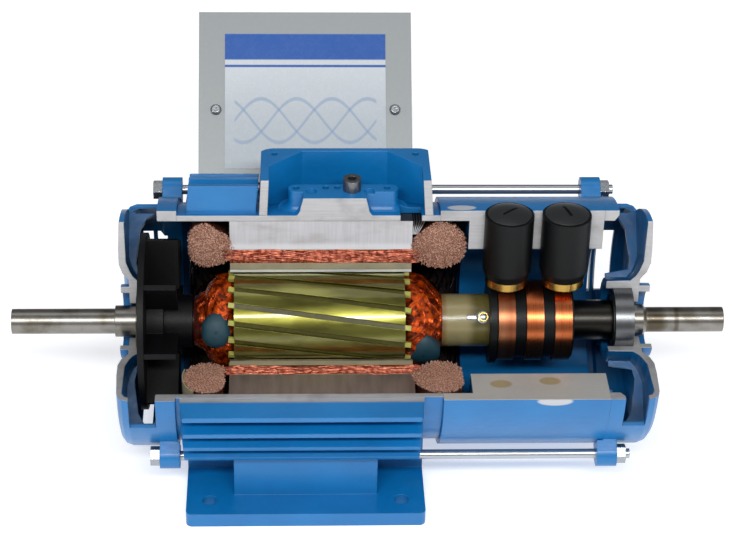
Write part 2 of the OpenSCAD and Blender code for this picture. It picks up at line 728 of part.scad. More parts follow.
module fan() {
    color(black) difference() {
        union() {
            rod(fan_x0, fan_x0 + fan_disc_t, fan_r);
            rod(fan_x0, fan_x0 + fan_boss_len, fan_hub_r);
            rod(fan_x0, fan_sleeve_x1, fan_sleeve_r);
            for (a = fan_blade_angles)
                axial(fan_x0 + fan_disc_t / 2, a)
                translate([fan_hub_r - 1, -fan_blade_t / 2, 0])
                cube([fan_r - fan_hub_r + 0.5, fan_blade_t, fan_x1 - fan_x0 - fan_disc_t / 2 - 0.5]);
        }
        rod(fan_x0 - eps, shoulder_x0 + 0.6, race_out_r + 0.5);
        rod(fan_x0 - eps, fan_sleeve_x1 + eps, shaft_r);
    }
}
// outlines of the two winding heads: points are [share of the head's length from the core, radius]
head_fan_side = [[0, 20.6], [0.19, 22.4], [0.43, 21.5], [0.62, 18], [0.71, 14], [1, 11.7]];
head_ring_side = [[0, 20.6], [0.22, 22.4], [0.5, 21], [0.72, 17], [0.94, 13], [1, 12.4]];
head_fan_len = rotor_x0 - fan_sleeve_x1 - 0.5;
head_ring_len = 18;
module winding_head(x, len, outline) {
    color([0.75, 0.35, 0.12])
    turned(concat([[x, shaft_r]], [for (p = outline) [x + len * p[0], p[1]]], [[x + len, shaft_r]]));
}
module rotor_winding_fan_side() { winding_head(rotor_x0, -head_fan_len, head_fan_side); }
module rotor_winding_ring_side() { winding_head(rotor_x1, head_ring_len, head_ring_side); }
// a pad of putty lies on each winding head
putty_angle_fan_side = 154;
putty_angle_ring_side = 188;
putty_half = 12;
putty_t = 2.2;
module putty_pad(x, len, outline, angle) {
    turned(concat([for (i = [1:3]) [x + len * outline[i][0], outline[i][1] + seat_gap]],
                  [for (i = [3:-1:1]) [x + len * outline[i][0], outline[i][1] + putty_t]]),
           angle - putty_half, 2 * putty_half);
}
module balance_putty() {
    color([0.1, 0.35, 0.4]) {
        putty_pad(rotor_x0, -head_fan_len, head_fan_side, putty_angle_fan_side);
        putty_pad(rotor_x1, head_ring_len, head_ring_side, putty_angle_ring_side);
    }
}
sleeve_x0 = rotor_x1 + head_ring_len;
sleeve_x1 = frame_x1 + 24.2;
sleeve_r = 12.6;
module resin_sleeve() {
    color([0.8, 0.76, 0.5]) difference() {
        ring(sleeve_x0, sleeve_x1, shaft_r, sleeve_r);
        lead_screw_rod(screw_r + seat_gap);
    }
}
screw_x = sleeve_x1 - 3.2;
screw_r = 2.2;
screw_angle = 141;
module lead_screw_rod(r) {
    axial(screw_x, screw_angle) rotate([0, 90, 0]) translate([0, 0, sleeve_r - 1]) cylinder(h = 3.4, r = r);
}
module lead_screw() {
    color([0.75, 0.6, 0.3]) lead_screw_rod(screw_r);
}
hub_x1 = slip_mid_x + ring_pitch + ring_w / 2 + 1;
spacer_r = ring_r - 1.4;
first_ring_x = slip_mid_x - ring_pitch - ring_w / 2;
flange_gap = 0.65;
flange_x1 = first_ring_x - flange_gap;
module ring_hub() {
    color(black) difference() {
        union() {
            rod(sleeve_x1, flange_x1, ring_r + 1.3);
            rod(flange_x1 - eps, hub_x1, spacer_r);
        }
        for (i = [0:2]) translate([i * ring_pitch, 0, 0])
            ring(first_ring_x, first_ring_x + ring_w, 15, ring_r + 1);
        rod(sleeve_x1 - eps, hub_x1 + eps, shaft_r);
    }
}
module slip_ring(i) {
    color([0.8, 0.5, 0.35])
    ring(slip_mid_x + i * ring_pitch - ring_w / 2, slip_mid_x + i * ring_pitch + ring_w / 2, 15, ring_r);
}

frame_casting();
terminal_box();
terminal_box_screw();
brush_chamber();
fan_end_shield();
ring_end_shield();
stator_core();
slot_liners();
stator_coils();
end_winding_fan_side();
end_winding_ring_side();
insulation_sheet();
tie_rods();
tie_rod_nuts();
brush_tube(brush_xa);  // brush_tube_a
brush_tube(brush_xb);  // brush_tube_b
brush_cap(brush_xa, 40);  // brush_cap_a
brush_cap(brush_xb, 108);  // brush_cap_b
brush_collar(brush_xa);  // brush_collar_a
brush_collar(brush_xb);  // brush_collar_b
carbon_brush(brush_xa);  // carbon_brush_a
carbon_brush(brush_xb);  // carbon_brush_b
outer_race_fan_side();
outer_race_ring_side();
label_plate();
label_sheet();
plate_screws();
plate_cross_bar();
plate_strut(strut_xs[0]);  // plate_strut_left
plate_strut(strut_xs[1]);  // plate_strut_right
shaft();
rotor_core();
slot_wedges();
rotor_winding_fan_side();
rotor_winding_ring_side();
balance_putty();
fan();
resin_sleeve();
lead_screw();
ring_hub();
slip_ring(-1);  // slip_ring_a
slip_ring(0);  // slip_ring_b
slip_ring(1);  // slip_ring_c
inner_race_fan_side();
inner_race_ring_side();
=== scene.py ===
"""Looks of the cutaway synchronous motor-generator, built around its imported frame."""
import math
import random

import bpy
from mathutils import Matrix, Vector


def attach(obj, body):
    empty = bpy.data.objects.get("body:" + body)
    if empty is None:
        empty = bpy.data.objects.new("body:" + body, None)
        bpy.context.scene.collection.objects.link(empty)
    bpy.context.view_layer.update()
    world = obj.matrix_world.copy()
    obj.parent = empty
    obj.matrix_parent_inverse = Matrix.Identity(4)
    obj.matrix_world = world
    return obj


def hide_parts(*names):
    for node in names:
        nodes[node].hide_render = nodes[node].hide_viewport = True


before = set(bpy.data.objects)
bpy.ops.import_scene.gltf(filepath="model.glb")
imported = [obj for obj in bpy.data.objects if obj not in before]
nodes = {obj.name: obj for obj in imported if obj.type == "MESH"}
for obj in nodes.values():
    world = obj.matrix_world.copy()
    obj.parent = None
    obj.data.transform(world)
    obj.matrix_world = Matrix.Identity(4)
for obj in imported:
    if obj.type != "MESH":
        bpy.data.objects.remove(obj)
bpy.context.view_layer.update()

MM = 0.001

# ---- the machine's main measures, in millimetres ----
AXIS_Z = 71.0
SAW_Y = 3.0
SAW_Z = 66.0
CHAMBER_R = 58.85
ROTOR_X0, ROTOR_X1 = -33.4, 46.6
STATOR_X0, STATOR_X1, STATOR_R = -35.3, 50.0, 53.3


def srgb(r, g, b):
    """A colour given as 0 to 255, in the linear form that shaders use."""
    return tuple((c / 255) ** 2.2 for c in (r, g, b)) + (1.0,)


def around(x, angle, radius):
    """A point round the shaft: 0 degrees points to the back, 90 up, 180 to the front."""
    a = math.radians(angle)
    return Vector((x, radius * math.cos(a), AXIS_Z + radius * math.sin(a)))


# ---- shader maths ----
class Value:
    """A number or vector carried by a shader socket, with ordinary arithmetic."""

    def __init__(self, finish, socket):
        self.finish = finish
        self.socket = socket

    def maths(self, operation, a, b=0.0):
        return self.finish.node("ShaderNodeMath", {"operation": operation}, {0: a, 1: b})

    def __add__(self, other):
        return self.maths("ADD", self, other)

    def __radd__(self, other):
        return self.maths("ADD", other, self)

    def __sub__(self, other):
        return self.maths("SUBTRACT", self, other)

    def __rsub__(self, other):
        return self.maths("SUBTRACT", other, self)

    def __mul__(self, other):
        return self.maths("MULTIPLY", self, other)

    def __rmul__(self, other):
        return self.maths("MULTIPLY", other, self)

    def __truediv__(self, other):
        return self.maths("DIVIDE", self, other)

    def __pow__(self, other):
        return self.maths("POWER", self, other)

    def size(self):
        return self.maths("ABSOLUTE", self)

    def sine(self):
        return self.maths("SINE", self)

    def larger(self, other):
        return self.maths("MAXIMUM", self, other)

    def above(self, edge, soft=0.1):
        """0 below the edge and 1 above it, with a soft step."""
        return self.finish.node("ShaderNodeMapRange", {"interpolation_type": "SMOOTHSTEP"},
                                {0: self, 1: edge - soft, 2: edge + soft})

    def below(self, edge, soft=0.1):
        return 1.0 - self.above(edge, soft)


class Finish:
    """A material on one principled shader; its places are in millimetres."""

    def __init__(self, name, colour, roughness=0.5, metallic=0.0, **constants):
        self.material = bpy.data.materials.new(name)
        self.material.use_nodes = True
        self.tree = self.material.node_tree
        self.shader = self.tree.nodes["Principled BSDF"]
        self.heights = []
        self.edge = 0.0
        self.set("Base Color", colour)
        self.set("Roughness", roughness)
        self.set("Metallic", metallic)
        for key, value in constants.items():
            self.set(key.replace("_", " "), value)
        coordinates = self.node("ShaderNodeTexCoord", None, None, "Object")
        self.place = self.vector("SCALE", coordinates, scale=1.0 / MM)
        self.x, self.y, self.z = self.split(self.place)

    def feed(self, socket, value):
        if isinstance(value, Value):
            self.tree.links.new(value.socket, socket)
        else:
            socket.default_value = value

    def set(self, key, value):
        self.feed(self.shader.inputs[key], value)

    def node(self, kind, settings=None, values=None, output=0):
        """Adds a node: its settings first, then its sockets, then gives one output."""
        node = self.tree.nodes.new(kind)
        for key, value in (settings or {}).items():
            setattr(node, key, value)
        for key, value in (values or {}).items():
            self.feed(node.inputs[key], value)
        return Value(self, node.outputs[output])

    def vector(self, operation, a, b=(0.0, 0.0, 0.0), scale=1.0):
        return self.node("ShaderNodeVectorMath", {"operation": operation},
                         {0: a, 1: b, 3: scale})

    def split(self, vector):
        parts = self.node("ShaderNodeSeparateXYZ", None, {0: vector})
        return [Value(self, socket) for socket in parts.socket.node.outputs]

    def radius(self):
        """Distance from the shaft's axis."""
        high = self.z - AXIS_Z
        return (self.y * self.y + high * high) ** 0.5

    def noise(self, per_mm, detail=2.0, stretch=(1.0, 1.0, 1.0)):
        return self.node("ShaderNodeTexNoise", None,
                         {"Vector": self.vector("MULTIPLY", self.place, stretch),
                          "Scale": per_mm, "Detail": detail})

    def cells(self, per_mm):
        return self.node("ShaderNodeTexVoronoi", None, {"Vector": self.place, "Scale": per_mm},
                         "Distance")

    def mix(self, share, a, b):
        """Colour a, going over to colour b where the share is 1."""
        return self.node("ShaderNodeMix", {"data_type": "RGBA"}, {0: share, 6: a, 7: b}, 2)

    def normal(self):
        return self.split(self.node("ShaderNodeNewGeometry", output="True Normal"))

    def bump(self, height, millimetres):
        """A relief: the height runs from 0 to 1 and stands for that many millimetres."""
        self.heights.append(height * (millimetres * MM))
        return self

    def done(self):
        """Joins up the relief and the rounding of the edges, and gives the material."""
        values = {"Strength": 1.0, "Distance": 1.0}
        if self.edge:
            values["Normal"] = self.node("ShaderNodeBevel", {"samples": 6}, {"Radius": self.edge * MM})
        if self.heights:
            total = self.heights[0]
            for height in self.heights[1:]:
                total = total + height
            values["Height"] = total
        if len(values) > 2:
            self.set("Normal", self.node("ShaderNodeBump", None, values))
        return self.material


# how squarely a face has to stand to a saw cut, and how near to it the face has to lie
SQUARE_TO_CUT, NEAR_CUT = 0.35, 0.5


def sawn_share(f):
    """1 on the two saw cuts and 0 elsewhere."""
    normal = f.normal()
    upright = normal[1].below(-SQUARE_TO_CUT, 0.05) * (f.y - SAW_Y).size().below(NEAR_CUT, 0.1)
    level = normal[2].above(SQUARE_TO_CUT, 0.05) * (f.z - SAW_Z).size().below(NEAR_CUT, 0.1)
    return upright.larger(level)


PAINT = srgb(10, 112, 174)
PAINT_DARK = srgb(4, 94, 152)
PAINTED_SHADE_BLUE = srgb(3, 24, 52)
BARE_CHIP = srgb(172, 176, 180)
ALUMINIUM = srgb(190, 190, 191)

# painted shade on the insides: from and to along the shaft, out to a radius, and how dark
SHADE_IN_FRAME = (-80.0, 80.0, 53.6, 0.85)
SHADE_IN_CHAMBER = (60.0, 145.0, 54.0, 0.3)
SHADE_IN_FAN_SHIELD = (-84.2, -50.0, 57.2, 0.45)
SHADE_IN_RING_SHIELD = (130.0, 160.1, 57.2, 0.45)

# bare places in the chamber's paint and painted golden reflections on its level cut, in millimetres
CHIP_TOP_X, CHIP_TOP_HALF_X, CHIP_TOP_Y = 72.8, 6.6, 6.3
CHIP_FRONT_X, CHIP_FRONT_HALF_X, CHIP_FRONT_Z = 113.8, 8.0, 65.0
CHIP_HALF = 2.6
GOLDEN_REFLECTIONS = ((89.9, -46.0), (112.8, -43.8))
REFLECTION_HALF_X, REFLECTION_HALF_Y = 5.0, 3.0


def casting(name, shaded_inside=None, chips_and_reflections=0.0):
    """Blue machinery paint over cast aluminium, bare and scratched where it is sawn, with painted shade
    on its insides and painted golden reflections on the chamber's level cut.
    """
    f = Finish(name, PAINT)
    f.edge = 0.7
    paint = f.mix(f.noise(0.05, 3.0), PAINT_DARK, PAINT)
    # painted shade: the paint goes dark inside the casting, within the given reach of the shaft
    if shaded_inside:
        low, high, reach, share = shaded_inside
        shaded = f.x.above(low, 0.3) * f.x.below(high, 0.3) * f.radius().below(reach, 0.2)
        paint = f.mix(shaded * share, paint, PAINTED_SHADE_BLUE)
    cut = sawn_share(f)
    on_top = f.z.above(AXIS_Z, 1.0)
    in_front = f.y.below(0.0, 1.0)
    for x, half_x, place, side in (
            (CHIP_TOP_X, CHIP_TOP_HALF_X, f.y - CHIP_TOP_Y, on_top),
            (CHIP_FRONT_X, CHIP_FRONT_HALF_X, f.z - CHIP_FRONT_Z, in_front)):
        spot = ((f.x - x) / half_x) ** 2.0 + (place / CHIP_HALF) ** 2.0
        outer = f.radius().above(CHAMBER_R - 0.4, 0.1) * side
        paint = f.mix(spot.below(1.0, 0.25) * outer * chips_and_reflections, paint, BARE_CHIP)
    level = f.normal()[2].above(0.5) * cut
    scratches = f.noise(0.5, 4.0, (0.12, 2.5, 2.5))
    stains = f.noise(0.09, 4.0)
    metal = f.mix(scratches, srgb(160, 160, 162), ALUMINIUM)
    metal = f.mix(stains.above(0.6, 0.14) * 0.5, metal, srgb(132, 131, 130))
    metal = f.mix(level * chips_and_reflections * 0.7, metal, srgb(204, 202, 196))
    # painted reflection: two golden spots on the chamber's level cut
    for x, y in GOLDEN_REFLECTIONS:
        spot = ((f.x - x) / REFLECTION_HALF_X) ** 2.0 + ((f.y - y) / REFLECTION_HALF_Y) ** 2.0
        metal = f.mix(spot.below(1.0, 0.3) * level * chips_and_reflections, metal, srgb(176, 164, 132))
    f.set("Base Color", f.mix(cut, paint, metal))
    f.set("Metallic", cut * 0.3 + level * 0.4)
    f.set("Roughness", 0.34 + cut * 0.14 + f.noise(0.4) * 0.1)
    f.set("Coat Weight", 0.14 - cut * 0.14)
    f.set("Coat Roughness", 0.12)
    f.bump(f.noise(0.12, 2.0) * (1.0 - cut), 0.35)
    f.bump(f.noise(0.9, 2.0) * (1.0 - cut), 0.03)
    f.bump(scratches * cut, 0.06)
    return f.done()


def simple(name, colour, roughness, metallic=0.0, grain=0.8, relief=0.02, shade=0.75, edge=0.4,
           **constants):
    """An even material with a fine grain and faint unevenness of colour."""
    f = Finish(name, colour, roughness, metallic, **constants)
    dark = tuple(c * shade for c in colour[:3]) + (1.0,)
    f.set("Base Color", f.mix(f.noise(grain * 0.3, 4.0), dark, colour))
    f.set("Roughness", roughness * 0.8 + f.noise(grain, 3.0) * (roughness * 0.4))
    f.bump(f.noise(grain, 3.0), relief)
    f.edge = edge
    return f.done()


def turned_metal(name, colour, roughness):
    """Metal turned in a lathe, with fine rings round the shaft."""
    f = Finish(name, colour, roughness, 1.0)
    rings = f.noise(1.2, 3.0, (1.0, 0.02, 0.02))
    dark = tuple(c * 0.8 for c in colour[:3]) + (1.0,)
    f.set("Base Color", f.mix(rings * f.noise(0.1, 3.0) * 1.6, dark, colour))
    f.set("Roughness", roughness * 0.7 + rings * (roughness * 0.6))
    f.bump(rings, 0.003)
    f.edge = 0.4
    return f.done()


# two worn bands on the ring end of the shaft, and the radius from which it is black
WORN_X0, WORN_X1 = 163.0, 171.0
SCORED_X0, SCORED_X1 = 176.0, 178.0
BLACK_R = 8.6


def shaft_material():
    """A ground shaft: bright at its driven ends, black between the slip rings and the bearing."""
    f = Finish("shaft_steel", srgb(156, 152, 144), 0.3, 1.0)
    f.edge = 0.5
    rings = f.noise(0.9, 3.0, (1.0, 0.02, 0.02))
    handled = f.noise(0.12, 4.0)
    bright = f.mix(handled.above(0.55, 0.2), srgb(136, 133, 128), srgb(104, 99, 88))
    worn = f.x.above(WORN_X0, 1.0) * f.x.below(WORN_X1, 2.0)
    scored = f.x.above(SCORED_X0, 0.6) * f.x.below(SCORED_X1, 0.6)
    bright = f.mix((worn + scored) * 0.6, bright, srgb(70, 60, 44))
    black = f.radius().above(BLACK_R, 0.2)
    f.set("Base Color", f.mix(black, bright, srgb(52, 51, 48)))
    f.set("Roughness", 0.26 + rings * 0.12)
    f.bump(rings, 0.002)
    return f.done()


TEETH_HIGHLIGHT_R = 41.0


def lamination_material():
    """Stacked steel sheets, sawn through and filed, with a painted highlight near the teeth."""
    f = Finish("lamination_steel", srgb(196, 196, 198), 0.38, 0.5)
    lines = f.noise(0.9, 3.0, (1.0, 0.05, 0.05))
    streaks = f.noise(0.3, 3.0, (1.0, 0.15, 0.15))
    stains = f.noise(0.08, 4.0, (0.6, 1.5, 1.5))
    cut = sawn_share(f)
    level = f.normal()[2].above(0.5) * cut
    pale = f.mix(lines * 0.6, srgb(198, 198, 201), srgb(140, 140, 143))
    pale = f.mix(stains.above(0.6, 0.15) * 0.5, pale, srgb(140, 128, 122))
    # the level cut is given a darker brown-grey with streaks
    darker_level = f.mix(streaks, srgb(92, 82, 74), srgb(146, 131, 125))
    # painted highlight: the upright cut is lighter in a band near the teeth
    bright = f.radius().below(TEETH_HIGHLIGHT_R, 1.5) * (1.0 - level)
    pale = f.mix(bright * 0.6, pale, srgb(216, 217, 220))
    pale = f.mix(level, pale, darker_level)
    f.set("Base Color", f.mix(cut, srgb(62, 60, 56), pale))
    f.set("Metallic", 0.45 + level * 0.35)
    f.set("Roughness", 0.3 + streaks * 0.25)
    f.bump(lines, 0.05)
    return f.done()


def lacquer_material():
    """The rotor's sheets under yellow-green lacquer."""
    f = Finish("lacquered_steel", srgb(120, 118, 50), 0.2, 1.0, Coat_Weight=0.7, Coat_Roughness=0.08)
    runs = f.noise(0.07, 3.0, (0.4, 1.6, 1.6))
    pools = f.noise(0.16, 4.0, (0.35, 1.0, 1.0))
    tone = f.mix(runs.above(0.5, 0.2), srgb(84, 82, 34), srgb(128, 126, 60))
    tone = f.mix(pools.above(0.58, 0.1) * 0.5, tone, srgb(70, 66, 28))
    f.set("Base Color", tone)
    f.set("Roughness", 0.26 + pools * 0.08)
    f.bump(f.noise(0.12, 2.0, (0.3, 1.0, 1.0)), 0.1)
    f.edge = 0.3
    return f.done()


def wedge_material():
    """Slot wedges: painted shade along the slots, yellow-green lacquer on the ends that stand out."""
    f = Finish("yellow_insulation", srgb(132, 134, 52), 0.5, 0.1, Coat_Weight=0.12, Coat_Roughness=0.3,
               Specular_IOR_Level=0.2)
    ends = (f.x - (ROTOR_X0 + ROTOR_X1) / 2).size().above((ROTOR_X1 - ROTOR_X0) / 2 - 0.2, 0.4)
    drops = f.noise(0.35, 3.0)
    # painted shade: the wedges go dark where they lie sunk in the slots
    shaded_inside = f.mix(drops, srgb(46, 43, 14), srgb(80, 77, 28))
    f.set("Base Color", f.mix(ends, shaded_inside, f.mix(drops, srgb(126, 122, 48), srgb(176, 176, 96))))
    f.bump(drops, 0.3)
    f.edge = 0.5
    return f.done()


# the stator's wires keep their colour close to the two cuts and get painted shade behind them
UPRIGHT_SHADE_Y, UPRIGHT_LOW_Z = 9.0, 72.0
LEVEL_SHADE_Z, LEVEL_BACK_Y = 59.0, -3.0


def wire_material(name, low, high, roughness=0.3, metallic=0.75, grain=1.2, shade_behind_cuts=False, sawn=None):
    """Enamelled or cut copper wire, each strand a little different, with painted shade behind the two
    cuts where asked.
    """
    f = Finish(name, high, roughness, metallic)
    share = f.noise(grain, 3.0).above(0.5, 0.18)
    tone = f.mix(share, low, high)
    if shade_behind_cuts:
        # painted shade: wires away from the two cuts go nearly black
        upright = f.y.below(UPRIGHT_SHADE_Y, 5.0) * f.z.above(UPRIGHT_LOW_Z, 3.0)
        level = f.z.above(LEVEL_SHADE_Z, 5.0) * f.y.below(LEVEL_BACK_Y, 2.0)
        near = upright.larger(level)
        tone = f.mix(near, srgb(26, 15, 12), tone)
    if sawn:
        tone = f.mix(sawn_share(f), tone, f.mix(f.cells(1.5), srgb(74, 44, 34), sawn))
    f.set("Base Color", tone)
    f.set("Roughness", roughness * 0.7 + f.noise(0.7, 2.0) * (roughness * 0.7))
    return f.done()


OLIVE_RESIN_X, BROWN_RESIN_X = 78.5, 66.5


def resin_material():
    """Cast resin: cream at the rotor, olive and clearer at the slip rings."""
    f = Finish("cream_resin", srgb(176, 168, 120), 0.3, 0.0, Coat_Weight=0.25, Coat_Roughness=0.16,
               Subsurface_Weight=0.35, Subsurface_Radius=(0.004, 0.003, 0.001), Subsurface_Scale=1.0)
    olive = f.x.above(OLIVE_RESIN_X, 3.0)
    brown = f.x.below(BROWN_RESIN_X, 1.2)
    tone = f.mix(olive, srgb(136, 127, 94), srgb(68, 62, 24))
    tone = f.mix(brown * 0.8, tone, srgb(110, 72, 40))
    f.set("Base Color", f.mix(f.noise(0.2, 3.0) * 0.35, tone, srgb(150, 138, 84)))
    f.bump(f.noise(0.16, 2.0), 0.3)
    return f.done()


# the plate behind, and the pattern on its sheet, in millimetres up and across the plate
PLATE_LOW_Y, PLATE_LOW_Z, PLATE_MID_X, PLATE_LEAN = 61.95, 111.0, 0.8, 41
BAND_LOW, BAND_HIGH = 61.8, 75.0
LINE_LOW, LINE_HIGH = 58.0, 59.2
WAVE_MIDDLE, WAVE_TALL, WAVE_HALF_X, WAVE_PER_MM = 31.0, 11.0, 35.0, 0.12
THIRD_OF_A_TURN = 2.0944


def sheet_material():
    """A plain laminated sheet: a blue band across the top and three faint wave lines, with painted shade
    on its lower part.
    """
    f = Finish("printed_sheet", srgb(222, 228, 234), 0.25, 0.0, Coat_Weight=0.4, Coat_Roughness=0.1)
    lean = math.radians(PLATE_LEAN)
    up = (f.y - PLATE_LOW_Y) * math.sin(lean) + (f.z - PLATE_LOW_Z) * math.cos(lean)
    across = f.x - PLATE_MID_X
    blue = srgb(46, 86, 156)
    # painted shade: the sheet is darker towards its bottom
    tone = f.mix(up.above(40.0, 25.0), srgb(168, 175, 181), srgb(190, 196, 201))
    tone = f.mix(up.above(BAND_LOW, 0.4) * up.below(BAND_HIGH, 0.4), tone, blue)
    tone = f.mix(up.above(LINE_LOW, 0.3) * up.below(LINE_HIGH, 0.3), tone, blue)
    for turn in range(3):
        phase = across * WAVE_PER_MM + turn * THIRD_OF_A_TURN
        line = phase.sine() * WAVE_TALL + WAVE_MIDDLE
        near = (up - line).size().below(0.9, 0.4)
        tone = f.mix(near * across.size().below(WAVE_HALF_X, 0.5) * 0.5, tone, srgb(112, 138, 172))
    f.set("Base Color", tone)
    f.set("Roughness", 0.22 + f.noise(0.3) * 0.1)
    f.bump(f.noise(0.03, 1.0), 0.6)
    return f.done()


def ring_material(name, low, high, roughness):
    """Copper polished by the brushes, with the marks of wear round it."""
    f = Finish(name, high, roughness, 1.0)
    marks = f.noise(2.2, 3.0, (1.0, 0.02, 0.02))
    tracks = f.noise(0.2, 2.0, (1.0, 0.01, 0.01))
    f.set("Base Color", f.mix(tracks.above(0.5, 0.3), low, high))
    f.set("Roughness", roughness * 0.9 + marks * (roughness * 0.2))
    f.bump(marks, 0.001)
    return f.done()


housing = casting("housing_paint")
frame_paint = casting("frame_paint", SHADE_IN_FRAME)
chamber_paint = casting("chamber_paint", SHADE_IN_CHAMBER, chips_and_reflections=1.0)
fan_shield_paint = casting("fan_shield_paint", SHADE_IN_FAN_SHIELD)
ring_shield_paint = casting("ring_shield_paint", SHADE_IN_RING_SHIELD)
rod_steel = simple("rod_steel", srgb(176, 180, 184), 0.3, 0.9, 0.2, 0.0, 0.85, 0.0)
steel = simple("bright_steel", srgb(168, 172, 176), 0.28, 0.95, 1.2, 0.02)
black_steel = simple("black_steel", srgb(118, 118, 120), 0.3, 0.9, 1.0, 0.03)
moulding = simple("black_moulding", srgb(16, 18, 19), 0.42, 0.0, 0.8, 0.04, Specular_IOR_Level=0.2)
cap_moulding = simple("cap_moulding", srgb(34, 36, 38), 0.34, 0.0, 0.8, 0.04)
fan_plastic = simple("fan_moulding", srgb(14, 15, 17), 0.5, 0.0, 0.9, 0.06, Specular_IOR_Level=0.2)
brass = turned_metal("brass", srgb(196, 158, 84), 0.24)
shaft_steel = shaft_material()
bearing_steel = turned_metal("bearing_steel", srgb(112, 114, 116), 0.3)
olive_steel = turned_metal("olive_bearing_steel", srgb(84, 84, 70), 0.34)
seal_steel = turned_metal("seal_steel", srgb(72, 73, 72), 0.4)
carbon = simple("brush_carbon", srgb(38, 38, 40), 0.5, 0.2)
paper = simple("slot_paper", srgb(150, 142, 116), 0.4, 0.0, 0.5, 0.06, 0.55)
satin = simple("satin_aluminium", srgb(140, 144, 145), 0.42, 0.35, 1.6, 0.03, 0.93)
putty = simple("teal_putty", srgb(15, 56, 68), 0.6, 0.0, 0.5, 0.1, 0.7)
wedge = wedge_material()
lamination = lamination_material()
lacquer = lacquer_material()
resin = resin_material()
sheet = sheet_material()
enamel = wire_material("enamelled_copper", srgb(70, 26, 16), srgb(176, 84, 50), 0.3, 0.7, shade_behind_cuts=True)
cut_copper = wire_material("cut_copper", srgb(126, 84, 68), srgb(214, 172, 150), 0.45, 0.4, 1.6)
core_copper = wire_material("packed_copper", srgb(30, 13, 10), srgb(96, 52, 38), 0.6, 0.2, 1.8,
                            shade_behind_cuts=True, sawn=srgb(166, 118, 96))
varnished = wire_material("varnished_copper", srgb(96, 24, 6), srgb(206, 84, 18), 0.2, 0.7, 0.35)
# painted shade: the winding heads' body under the strands is near-black red, standing in for the gaps
# between strands
varnish_shade = wire_material("varnished_core", srgb(30, 8, 5), srgb(84, 26, 12), 0.3, 0.2)
slot_copper = wire_material("slot_copper", srgb(112, 46, 34), srgb(208, 124, 98), 0.3, 0.75, 0.5)
ring_dull = ring_material("ring_copper_dull", srgb(132, 74, 52), srgb(160, 106, 76), 0.36)
ring_bright = ring_material("ring_copper", srgb(176, 92, 54), srgb(192, 112, 74), 0.28)


def dress(names, material):
    """Gives CAD nodes a material."""
    for name in names.split():
        nodes[name].data.materials.clear()
        nodes[name].data.materials.append(material)


dress("terminal_box", housing)
dress("frame_casting", frame_paint)
dress("brush_chamber", chamber_paint)
dress("fan_end_shield", fan_shield_paint)
dress("ring_end_shield", ring_shield_paint)
dress("terminal_box_screw", black_steel)
dress("stator_core", lamination)
dress("slot_liners", paper)
dress("stator_coils", enamel)
dress("insulation_sheet", paper)
dress("tie_rods", rod_steel)
dress("tie_rod_nuts", steel)
dress("brush_tube_a brush_tube_b", moulding)
dress("brush_cap_a brush_cap_b", cap_moulding)
dress("brush_collar_a brush_collar_b lead_screw", brass)
dress("carbon_brush_a carbon_brush_b", carbon)
dress("outer_race_ring_side inner_race_ring_side", bearing_steel)
dress("outer_race_fan_side inner_race_fan_side", olive_steel)
dress("label_plate plate_cross_bar plate_strut_left plate_strut_right", satin)
dress("label_sheet", sheet)
dress("plate_screws", steel)
dress("shaft", shaft_steel)
dress("rotor_core", lacquer)
dress("slot_wedges", wedge)
dress("rotor_winding_fan_side rotor_winding_ring_side", varnish_shade)
dress("end_winding_fan_side end_winding_ring_side", core_copper)
dress("balance_putty", putty)
dress("fan", fan_plastic)
dress("resin_sleeve", resin)
dress("ring_hub", moulding)
dress("slip_ring_a", ring_dull)
dress("slip_ring_b slip_ring_c", ring_bright)


# ---- meshes of the added pieces ----
class Shape:
    """A mesh gathered from rows of points, in millimetres."""

    def __init__(self):
        self.points = []
        self.faces = []

    def grid(self, rows, caps=True):
        """Joins each ring of points to the next; caps close the two ends."""
        start = len(self.points)
        across = len(rows[0])
        for row in rows:
            self.points.extend(row)
        for i in range(len(rows) - 1):
            for j in range(across):
                a = start + i * across + j
                b = start + i * across + (j + 1) % across
                self.faces.append((a, b, b + across, a + across))
        if caps:
            self.faces.append(tuple(range(start + across - 1, start - 1, -1)))
            last = start + (len(rows) - 1) * across
            self.faces.append(tuple(range(last, last + across)))
        return self

    def tube(self, path, radius, sides=6):
        """A wire along a path; the radius is a number or one number for each point."""
        rows = []
        side = None
        for i, point in enumerate(path):
            along = (path[min(i + 1, len(path) - 1)] - path[max(i - 1, 0)]).normalized()
            if side is None:
                side = along.orthogonal().normalized()
            side = (side - along * side.dot(along)).normalized()
            other = along.cross(side)
            r = radius[i] if isinstance(radius, list) else radius
            rows.append([point + (side * math.cos(a) + other * math.sin(a)) * r
                         for a in (2 * math.pi * k / sides for k in range(sides))])
        return self.grid(rows)

    def turned(self, outline, steps=64, start=0.0, sweep=360.0):
        """Turns a closed outline of (place along the shaft, radius) round the shaft."""
        full = sweep >= 360.0
        count = steps if full else steps + 1
        rows = [[around(x, start + sweep * i / steps, r) for x, r in outline] for i in range(count)]
        if full:
            rows.append(rows[0])
        return self.grid(rows, not full)

    def make(self, name, body, material, slot, smooth=True, replaces=(), bevel=0.0):
        mesh = bpy.data.meshes.new(name)
        mesh.from_pydata([p * MM for p in self.points], [], self.faces)
        mesh.materials.append(material)
        mesh.update()
        if smooth:
            mesh.shade_smooth()
        piece = bpy.data.objects.new(name, mesh)
        bpy.context.scene.collection.objects.link(piece)
        if bevel:
            edge = piece.modifiers.new("bevel", "BEVEL")
            edge.width = bevel * MM
            edge.segments = 2
            edge.limit_method = "ANGLE"
        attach(piece, body)
        if replaces:
            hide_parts(*replaces)
        return piece


A_TURN = 6.283


